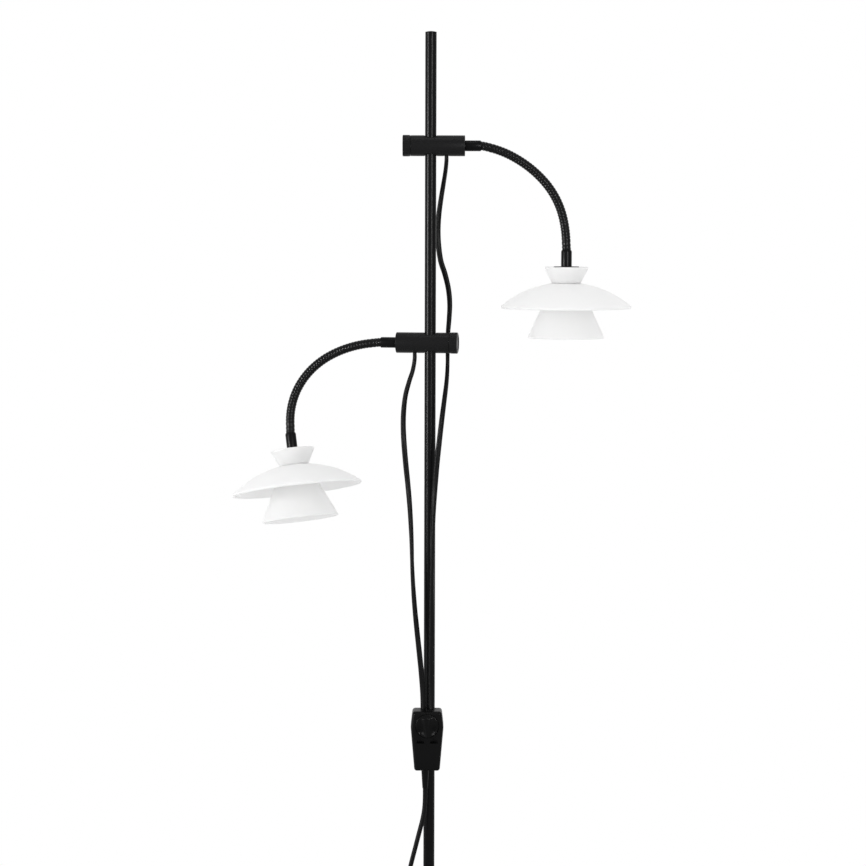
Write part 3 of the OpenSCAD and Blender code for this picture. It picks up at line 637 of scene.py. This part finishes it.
def makeClamp(arm, spot):
    centre, outward = spot["centre"], spot["outward"]
    along = frameAlong(centre, outward)
    r, bevel, edge, steps = clamp["radius"], clamp["bevel"], clamp["backBevel"], clamp["bevelSteps"]
    back, end = clamp["back"], clamp["end"]
    profile = [(0, back), (r - edge, back)] + arc((r - edge, back + edge), edge, -90, 0, steps)[1:]
    profile += arc((r - bevel, end - bevel), bevel, 0, 90, steps) + [(0, end)]
    # the barrel takes the lighter copy of the pole's black paint, which holds painted light
    barrel = turnedPiece(f"{arm}Barrel", profile, along, "clampPaintPaintedLight", clamp["sides"])
    bore, inside, reach, margin = clamp["bore"], clamp["inside"], clamp["boreReach"], clamp["insideMargin"]
    exitSpot = frameAlong(centre + outward * (clamp["exit"] * mm), (0, 0, -1))
    cutWith(barrel, [
        turnedPiece("boreCutter", [(0, -reach), (bore, -reach), (bore, reach), (0, reach)],
                    Matrix.Translation(centre), "satinPaint", clamp["boreSides"]),
        turnedPiece("insideCutter", [(0, back - margin), (inside, back - margin), (inside, end - margin),
                                     (0, end - margin)], along, "satinPaint", clamp["insideSides"]),
        turnedPiece("exitCutter", clamp["exitHole"], exitSpot, "satinPaint", clamp["exitSides"]),
    ])
    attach(barrel, f"{arm}_barrel")
    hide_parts(f"{arm}_clamp_barrel")


def makeKnob(arm, spot):
    centre, outward = spot["centre"], spot["outward"]
    along = frameAlong(centre, outward)
    r, back, front, perGroove = knob["radius"], knob["back"], knob["front"], knob["sidesPerGroove"]
    profile = edgeAt(0, back, knob["dish"]) + edgeAt(r, back, knob["backEdge"])
    profile += edgeAt(r, front, knob["frontEdge"]) + [(0, front)]
    verts, faces = lathe(profile, along, knob["grooves"] * perGroove)
    for i, vert in enumerate(verts):
        # two of each groove's sides are pressed in, between the rounded edges of the rim
        offset = vert - centre
        height = offset.dot(outward) / mm
        radial = offset - outward * offset.dot(outward)
        onRim = radial.length > (r - knob["rimBand"]) * mm
        if onRim and back + knob["grooveBack"] < height < front - knob["grooveFront"] and i % perGroove in (0, 1):
            verts[i] = vert - radial.normalized() * knob["grooveDepth"] * mm
    # the knob takes the same lighter copy of the black paint, with painted light in it
    disc = meshPiece(f"{arm}Knob", verts, faces, "clampPaintPaintedLight", crease["knob"])
    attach(disc, f"{arm}_knob")
    washer, start, stop = r - knob["washer"], front - knob["overlap"], clamp["back"] - knob["washerGap"]
    profile = [(0, start), (washer, start), (washer, stop), (knob["screwRadius"], stop),
               (knob["screwRadius"], knob["screwTip"]), (0, knob["screwTip"])]
    screw = turnedPiece(f"{arm}KnobScrew", profile, along, "satinPaint", knob["screwSides"])
    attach(screw, f"{arm}_knob")
    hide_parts(f"{arm}_clamp_knob")


def makeRoot(arm, spot):
    r, start, end = neck["ferruleRadius"], clamp["end"] + neck["rootGap"], neck["rootEnd"]
    profile = [(0, start)] + edgeAt(r, start, neck["startEdge"]) + edgeAt(r, end, neck["endEdge"]) + [(0, end)]
    piece = turnedPiece(f"{arm}NeckFerrule", profile, frameAlong(spot["centre"], spot["outward"]), "satinPaint",
                        neck["ferruleSides"])
    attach(piece, f"{arm}_neck_root")
    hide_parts(f"{arm}_neck_root")


def ribRadius(phase):
    # round crests with narrow valleys between them
    x = 2 * (phase % 1.0) - 1
    crest = math.sqrt(max(1 - abs(x) ** neck["crestPower"], 0.0))
    return neck["root"] + (neck["crest"] - neck["root"]) * crest


def makeNeck(arm, spot):
    # one piece round each bend, from the middle of a link to the middle of the next
    pivots, bends, ribs, count = spot["pivots"], neck["bends"], neck["ribsPerLink"], neck["sides"]
    middles = [(a + b) / 2 for a, b in zip(pivots, pivots[1:])]
    starts = [pivots[0] - spot["outward"] * neck["lead"] * mm] + middles
    ends = middles + [pivots[-1] + spot["headAxis"] * neck["tip"] * mm]
    firstRibs = ribs * (ends[0] - starts[0]).length / (neck["linkPitch"] * mm)
    shares = [firstRibs] + [ribs] * (bends - 2) + [ribs * neck["lastShare"]]
    turned = 0.0
    for k, (a, bend, b, share) in enumerate(zip(starts, pivots, ends, shares)):
        steps = max(int(round(share * neck["stepsPerRib"])), neck["leastSteps"])
        verts = []
        for i in range(steps + 1):
            t = i / steps
            point = a * (1 - t) ** 2 + bend * 2 * t * (1 - t) + b * t * t
            ahead = ((bend - a) * (1 - t) + (b - bend) * t).normalized()
            across = spot["hinge"]
            up = ahead.cross(across)
            for j in range(count):
                angle = 2 * math.pi * j / count
                radius = ribRadius(turned + share * t + j / count) * mm
                verts.append(point + (across * math.cos(angle) + up * math.sin(angle)) * radius)
        turned += share
        piece = meshPiece(f"{arm}Neck{k + 1}", verts, gridFaces(steps + 1, count), "neckPaint", crease["neck"])
        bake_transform(piece)
        if k:
            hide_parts(f"{arm}_neck_link_{k}")


# glass and fittings: heights are from the last bend down into the shade

glass = {
    "collar": {"topRadius": 23.45, "top": 17.9, "waist": 15.5, "seat": 35.4, "thick": 2.5, "fillet": (0.4, 0.8),
               "filletShare": 0.06, "lipSteps": 12, "waistSteps": 8},
    "dome": {"rim": 69.45, "curve": 107.4, "thick": 3.0, "flat": 15.5, "seat": 35.4, "under": 38.3, "notch": 16.7,
             "steps": 40, "lipSteps": 10},
    "cone": {"top": 38.3, "topRadius": 16.0, "end": 93.6, "endRadius": 40.6, "thick": 2.6, "filletTop": (0.9, 1.9),
             "filletFoot": [(-0.2, 0.3), (-1.2, 0)], "kneeSteps": 6, "lipSteps": 12},
    "hole": 10.2, "segments": 128,
}
fittings = {
    "ferruleStart": -0.87, "ferruleEnd": 18.5, "ferruleNose": [(4.2, -0.87), (4.6, -0.5)],
    "ferruleEdge": [(-0.25, 1.0), (0, 1.7)], "ferruleSides": 48,
    "bulbStart": 48.3, "bulbEnd": 88.0, "bulbRadius": 7.0, "bulbSides": 40, "tipSteps": 10,
    "bulbFoot": [(0, 0), (6.2, 0), (6.6, 0.4), (6.6, 7.4)], "bulbShoulder": 8.2,
}


def collarProfile():
    g = glass["collar"]
    half, floor = g["thick"] / 2, g["seat"] - g["thick"]
    lip, waist = (g["topRadius"] - half, g["top"] + half), (g["waist"] - half, g["seat"] - half)
    slope = math.degrees(math.atan2(waist[1] - lip[1], waist[0] - lip[0]))
    inside = onCircle(waist, half, slope + 90)[0]
    low, high = g["fillet"]
    profile = [(glass["hole"], g["seat"]), (glass["hole"], floor), (inside - low, floor),
               (inside + (lip[0] - waist[0]) * g["filletShare"], floor - high)]
    profile += arc(lip, half, slope + 90, slope + 270, g["lipSteps"])
    return profile + arc(waist, half, slope + 270 - 360, 90, g["waistSteps"])


def domeProfile():
    g = glass["dome"]
    centre = g["seat"] + math.sqrt(g["curve"] ** 2 - g["flat"] ** 2)
    middle, inner = g["curve"] - g["thick"] / 2, g["curve"] - g["thick"]
    limit = math.degrees(math.asin((g["rim"] - g["thick"] / 2) / middle))
    outerStart = math.degrees(math.asin(g["flat"] / g["curve"]))
    innerStart = math.degrees(math.asin(g["notch"] / inner))
    tip = (middle * math.sin(math.radians(limit)), centre - middle * math.cos(math.radians(limit)))
    profile = [(glass["hole"], g["under"]), (glass["hole"], g["seat"])]
    profile += arc((0, centre), g["curve"], -90 + outerStart, -90 + limit, g["steps"])
    profile += arc(tip, g["thick"] / 2, -90 + limit, 90 + limit, g["lipSteps"])[1:]
    profile += arc((0, centre), inner, -90 + limit, -90 + innerStart, g["steps"])[1:]
    return profile + [(g["notch"], g["under"])]


def coneProfile():
    g = glass["cone"]
    half, floor = g["thick"] / 2, g["top"] + g["thick"]
    knee, lip = (g["topRadius"] - half, g["top"] + half), (g["endRadius"] - half, g["end"] - half)
    slope = math.degrees(math.atan2(lip[1] - knee[1], lip[0] - knee[0]))
    inside = onCircle(knee, half, slope + 90)
    profile = [(glass["hole"], floor), (glass["hole"], g["top"])]
    profile += arc(knee, half, -90, slope - 90, g["kneeSteps"])
    profile += arc(lip, half, slope - 90, slope + 90, g["lipSteps"])
    return profile + edgeAt(*inside, [g["filletTop"]]) + edgeAt(inside[0], floor, g["filletFoot"])


def makeHead(arm, spot):
    body = f"{arm}_head"
    along = frameAlong(spot["pivots"][-1], spot["headAxis"], spot["hinge"])
    for name, profile in (("collar", collarProfile()), ("dome", domeProfile()), ("cone", coneProfile())):
        piece = turnedPiece(f"{arm}{name.capitalize()}Glass", profile, along, "opalGlass", glass["segments"],
                            closed=True, angle=crease["glass"])
        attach(piece, body)
        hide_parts(f"{arm}_{name}_glass")

    r, start, end = neck["ferruleRadius"], fittings["ferruleStart"], fittings["ferruleEnd"]
    profile = [(0, start)] + fittings["ferruleNose"] + edgeAt(r, 0, fittings["ferruleEdge"]) + [(r, end), (0, end)]
    ferrule = turnedPiece(f"{arm}ShadeFerrule", profile, along, "satinPaint", fittings["ferruleSides"])
    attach(ferrule, body)
    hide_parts(f"{arm}_shade_ferrule")

    start, stop, radius = fittings["bulbStart"], fittings["bulbEnd"], fittings["bulbRadius"]
    profile = edgeAt(0, start, fittings["bulbFoot"])
    profile += [(radius, start + fittings["bulbShoulder"]), (radius, stop - radius)]
    profile += arc((0, stop - radius), radius, 0, 90, fittings["tipSteps"])[1:-1] + [(0, stop)]
    capsule = turnedPiece(f"{arm}Capsule", profile, along, "frostedCapsule", fittings["bulbSides"])
    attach(capsule, body)
    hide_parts(f"{arm}_bulb")


for arm in arms:
    spot = armFrame(arm)
    makeClamp(arm, spot)
    makeKnob(arm, spot)
    makeRoot(arm, spot)
    makeNeck(arm, spot)
    makeHead(arm, spot)
print("arms made")


# dimmer: depths are from the pole's axis towards the front

dimmer = {
    "x": -2.2, "bottom": 660.0, "top": 724.5, "width": 35.0, "shoulder": (12.6, 3.4), "corner": (10.8, 3.0),
    "outlinePoints": 96, "split": 18.0, "gap": 0.05, "lip": 0.25, "lipDepth": 0.35,
    "front": 30.0, "bevelStart": 4.5, "bevelDeep": 4.1, "bevelIn": 2.9, "bevelSteps": 8, "crown": 0.8, "crownRise": 0.3,
    "back": 7.0, "backRound": 2.0, "backSteps": 5,
    "dent": {"apart": 7.2, "ahead": 4.7, "below": 11.9, "tall": 6.8, "radius": 4.9, "slope": 0.38, "sides": 48},
}
dial = {
    "height": 709.0, "radius": 12.5, "turn": 3.0, "crown": 0.9, "fall": 0.4,
    "ridge": {"tall": 1.7, "narrow": 2.6, "widen": 2.2, "reach": 9, "end": 8.0, "endRun": 1.7},
    "dip": {"deep": 2.2, "apart": 7.6, "wide": 3.6, "below": 5.8, "tall": 4.0},
    "sides": 96, "rings": 22, "cap": 0.965, "rim": [(0.99, 0.35), (1.0, 0.8)], "skirt": -2.2,
    "gap": 0.35, "chamfer": 0.15, "floor": -2.5, "mouth": (-0.1, 0.1), "recessTop": 5, "recessSides": 64,
}


def dimmerOutline(inset, depth):
    # convex outline round five circles, given as (x, height, radius)
    top, bottom, half = dimmer["top"], dimmer["bottom"], dimmer["width"] / 2
    circles = [(0, top - half, half)]
    for (across, radius), height in ((dimmer["shoulder"], top - dimmer["shoulder"][1]),
                                     (dimmer["corner"], bottom + dimmer["corner"][1])):
        circles += [(across, height, radius), (-across, height, radius)]
    loop = []
    for k in range(dimmer["outlinePoints"]):
        a = 2 * math.pi * k / dimmer["outlinePoints"]
        c, s = math.cos(a), math.sin(a)
        x, z, r = max(circles, key=lambda circle: circle[0] * c + circle[1] * s + circle[2])
        loop.append(Vector((dimmer["x"] + (x + (r - inset) * c), -depth, z + (r - inset) * s)) * mm)
    return loop


def dialHeight(x, up):
    # grip ridge down the middle, narrower below, and a finger dip on each side of it
    ridge, dip = dial["ridge"], dial["dip"]
    a = math.radians(dial["turn"])
    x, up = x * math.cos(a) + up * math.sin(a), up * math.cos(a) - x * math.sin(a)
    r = math.hypot(x, up) / dial["radius"]
    width = ridge["narrow"] + ridge["widen"] * ease((up + ridge["reach"]) / (2 * ridge["reach"]))
    crest = ridge["tall"] * math.exp(-abs(x / width) ** 3) * (1 - ease((up - ridge["end"]) / ridge["endRun"]))
    dips = math.exp(-(((abs(x) - dip["apart"]) / dip["wide"]) ** 2 + ((up + dip["below"]) / dip["tall"]) ** 2))
    return dial["crown"] - dial["fall"] * r * r + crest - dip["deep"] * dips


def dialSurface(facing):
    # rings out to the rounded rim, then a straight skirt
    radius, sides, rings = dial["radius"], dial["sides"], dial["rings"]
    levels = [(radius * i / rings * dial["cap"], 0.0) for i in range(1, rings + 1)]
    levels += [(radius * share, drop) for share, drop in dial["rim"]] + [(radius, None)]
    verts = [facing @ Vector((0, 0, dialHeight(0, 0) * mm))]
    for ring, drop in levels:
        for k in range(sides):
            a = 2 * math.pi * k / sides
            x, up = ring * math.cos(a), ring * math.sin(a)
            height = dial["skirt"] if drop is None else dialHeight(x, up) - drop
            verts.append(facing @ Vector((x * mm, up * mm, height * mm)))
    faces = [[0, 1 + k, 1 + (k + 1) % sides] for k in range(sides)]
    for i in range(len(levels) - 1):
        low, high = 1 + i * sides, 1 + (i + 1) * sides
        faces += [[high + k, high + (k + 1) % sides, low + (k + 1) % sides, low + k] for k in range(sides)]
    faces.append(list(reversed(range(1 + (len(levels) - 1) * sides, 1 + len(levels) * sides))))
    return verts, faces


def quarterTurn(steps):
    for i in range(steps + 1):
        a = math.radians(90 * i / steps)
        yield math.cos(a), math.sin(a)


def makeShellFront(facing):
    front, split, lip = dimmer["front"], dimmer["split"], dimmer["lip"]
    loops = [dimmerOutline(lip, split + dimmer["gap"]), dimmerOutline(0, split + dimmer["lipDepth"])]
    for c, s in quarterTurn(dimmer["bevelSteps"]):
        loops.append(dimmerOutline(dimmer["bevelIn"] * (1 - c), front - dimmer["bevelStart"] + dimmer["bevelDeep"] * s))
    middle = sum(loops[-1], Vector()) / len(loops[-1])
    rise = Vector((0, -dimmer["crownRise"] * mm, 0))
    loops.append([middle + (corner - middle) * dimmer["crown"] + rise for corner in loops[-1]])
    verts, faces = loft(loops)
    shell = meshPiece("dimmerShellFront", verts, faces, "mouldedPlastic")
    r, (low, high) = dial["radius"] + dial["gap"], dial["mouth"]
    profile = [(0, dial["floor"]), (r, dial["floor"]), (r, low), (r + dial["chamfer"], high),
               (r + dial["chamfer"], dial["recessTop"]), (0, dial["recessTop"])]
    cutters = [turnedPiece("dialCutter", profile, facing, "mouldedPlastic", dial["recessSides"])]
    # dents that slope inward as they go down, so that their floors face away from the lamps
    dent = dimmer["dent"]
    profile = [(0, -dent["tall"]), (dent["radius"], -dent["tall"]), (dent["radius"], 0), (0, 0)]
    shear = Matrix(((1, 0, 0, 0), (0, 1, -dent["slope"], 0), (0, 0, 1, 0), (0, 0, 0, 1)))
    for side in (-1, 1):
        top = Vector((dimmer["x"] + side * dent["apart"], -(front + dent["ahead"]), dial["height"] - dent["below"]))
        cutters.append(turnedPiece("scoopCutter", profile, Matrix.Translation(top * mm) @ shear, "mouldedPlastic",
                                   dent["sides"]))
    cutWith(shell, cutters)
    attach(shell, "stand")
    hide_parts("dimmer_front")


def makeShellBack():
    back, bend, split = dimmer["back"], dimmer["backRound"], dimmer["split"]
    loops = [dimmerOutline(bend * (1 - s), back + bend * (1 - c)) for c, s in quarterTurn(dimmer["backSteps"])]
    loops += [dimmerOutline(0, split - dimmer["lipDepth"]), dimmerOutline(dimmer["lip"], split)]
    verts, faces = loft(loops)
    rear = meshPiece("dimmerShellBack", verts, faces, "mouldedPlastic")
    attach(rear, "stand")


def makeDial(facing):
    verts, faces = dialSurface(facing)
    knobPiece = meshPiece("dimmerKnob", verts, faces, "mouldedPlastic", crease["dial"])
    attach(knobPiece, "dimmer_dial")
    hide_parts("dimmer_dial")


dialSpot = Vector((dimmer["x"], -dimmer["front"], dial["height"]))
facing = frameAlong(dialSpot * mm, (0, -1, 0), (0, 0, 1))   # its X runs to the right, its Y up
makeShellFront(facing)
makeShellBack()
makeDial(facing)
print("dimmer made")


# finishes of the CAD nodes that stay

nodeFinish = {
    "base_pad": "feltPad", "base_bolt": "zincSteel", "pole_couplers": "satinPaint", "pole_end_plug": "mouldedPlastic",
    "dimmer_back": "mouldedPlastic", "dimmer_board": "circuitBoard", "dimmer_screws": "zincSteel",
    "mains_relief": "mouldedPlastic", "plug_pins": "platedPin",
}
armFinish = {
    "clamp_bush": "greyNylon", "clamp_shoe": "greyNylon", "shade_cap": "mouldedPlastic",
    "lampholder": "mouldedPlastic", "ring_nut": "mouldedPlastic",
}
for arm in arms:
    nodeFinish.update({f"{arm}_{name}": finish for name, finish in armFinish.items()})
for name, finish in nodeFinish.items():
    node = nodes[name]
    node.data.materials.clear()
    node.data.materials.append(materials[finish])
print("nodes finished")


# floor, world and lights

# matt surfaces get a little more light from below than from above, and horizon is where the two meet
studio = {"floorRadius": 1.3, "floorSides": 96, "fade": (0.55, 0.98), "floorColour": 0.90,
          "horizon": (-0.5, 0.5), "fromBelow": 0.92, "fromAbove": 0.76}
# the glints only show in reflections, so the matt surfaces stay evenly lit
lamps = {   # width, height and power of the soft box and of the glint at each place
    "left": {"place": (-1.74, -1.0, 1.2), "aim": (0, 0, 1.2), "Box": (0.28, 0.75, 7), "Glint": (0.12, 0.75, 80)},
    "right": {"place": (0.92, -1.80, 1.5), "aim": (0, 0, 1.5), "Box": (0.22, 0.9, 4), "Glint": (0.12, 0.9, 45)},
    "top": {"place": (0, -0.3, 3.1), "aim": (0, 0, 0.9), "Box": (0.6, 0.3, 3), "Glint": (0.6, 0.2, 6)},
}


def combined(tree, operation, first, second):
    node = tree.nodes.new("ShaderNodeMath")
    node.operation = operation
    tree.links.new(first, node.inputs[0])
    tree.links.new(second, node.inputs[1])
    return node.outputs[0]


def smoothRange(tree, span, levels):
    ramp = tree.nodes.new("ShaderNodeMapRange")
    ramp.interpolation_type = "SMOOTHSTEP"
    for label, value in zip(("From Min", "From Max", "To Min", "To Max"), (*span, *levels)):
        ramp.inputs[label].default_value = value
    return ramp


def whiteRays(tree):
    # 1 for the rays that should meet a white background: seen directly, reflected or through glass
    seen = tree.nodes.new("ShaderNodeLightPath")
    found = seen.outputs["Is Camera Ray"]
    for ray in ("Is Glossy Ray", "Is Transmission Ray"):
        found = combined(tree, "MAXIMUM", found, seen.outputs[ray])
    return found


def paleFloor():
    # matt paper that fades to plain white towards the rim, only for the rays of whiteRays
    material = bpy.data.materials.new("paleFloor")
    material.use_nodes = True
    tree = material.node_tree
    tree.nodes.clear()
    out = tree.nodes.new("ShaderNodeOutputMaterial")
    paper = tree.nodes.new("ShaderNodeBsdfDiffuse")
    paper.inputs["Color"].default_value = (studio["floorColour"],) * 3 + (1,)
    white = tree.nodes.new("ShaderNodeEmission")
    place = tree.nodes.new("ShaderNodeTexCoord")
    away = tree.nodes.new("ShaderNodeVectorMath")
    away.operation = "LENGTH"
    fade = smoothRange(tree, [studio["floorRadius"] * share for share in studio["fade"]], (0, 1))
    mixed = tree.nodes.new("ShaderNodeMixShader")
    link = tree.links.new
    link(place.outputs["Object"], away.inputs[0])
    link(away.outputs["Value"], fade.inputs["Value"])
    link(combined(tree, "MULTIPLY", fade.outputs["Result"], whiteRays(tree)), mixed.inputs[0])
    link(paper.outputs[0], mixed.inputs[1])
    link(white.outputs[0], mixed.inputs[2])
    link(mixed.outputs[0], out.inputs["Surface"])
    return material


def makeFloor():
    mesh = bpy.data.meshes.new("floor")
    build = bmesh.new()
    bmesh.ops.create_circle(build, cap_ends=True, segments=studio["floorSides"], radius=studio["floorRadius"])
    build.to_mesh(mesh)
    build.free()
    mesh.materials.append(paleFloor())
    floor = bpy.data.objects.new("floor", mesh)
    bpy.context.scene.collection.objects.link(floor)


def makeWorld():
    # white to the camera and in reflections, a little dimmer as light on matt surfaces
    world = bpy.data.worlds.new("studioWorld")
    bpy.context.scene.world = world
    world.use_nodes = True
    tree = world.node_tree
    background = tree.nodes["Background"]
    background.inputs["Color"].default_value = (1, 1, 1, 1)
    way = tree.nodes.new("ShaderNodeTexCoord")
    split = tree.nodes.new("ShaderNodeSeparateXYZ")
    level = smoothRange(tree, studio["horizon"], (studio["fromBelow"], studio["fromAbove"]))
    link = tree.links.new
    link(way.outputs["Generated"], split.inputs[0])
    link(split.outputs["Z"], level.inputs["Value"])
    link(combined(tree, "MAXIMUM", level.outputs["Result"], whiteRays(tree)), background.inputs["Strength"])


def makeLamps(kind):
    for side, lamp in lamps.items():
        data = bpy.data.lights.new(side + kind, "AREA")
        data.shape = "RECTANGLE"
        data.size, data.size_y, data.energy = lamp[kind]
        light = bpy.data.objects.new(side + kind, data)
        light.location = lamp["place"]
        light.rotation_euler = (Vector(lamp["aim"]) - Vector(lamp["place"])).to_track_quat("-Z", "Y").to_euler()
        light.visible_diffuse = kind == "Box"
        bpy.context.scene.collection.objects.link(light)


makeFloor()
makeWorld()
makeLamps("Box")
makeLamps("Glint")
bpy.context.scene.view_settings.view_transform = "Standard"
print("studio set")
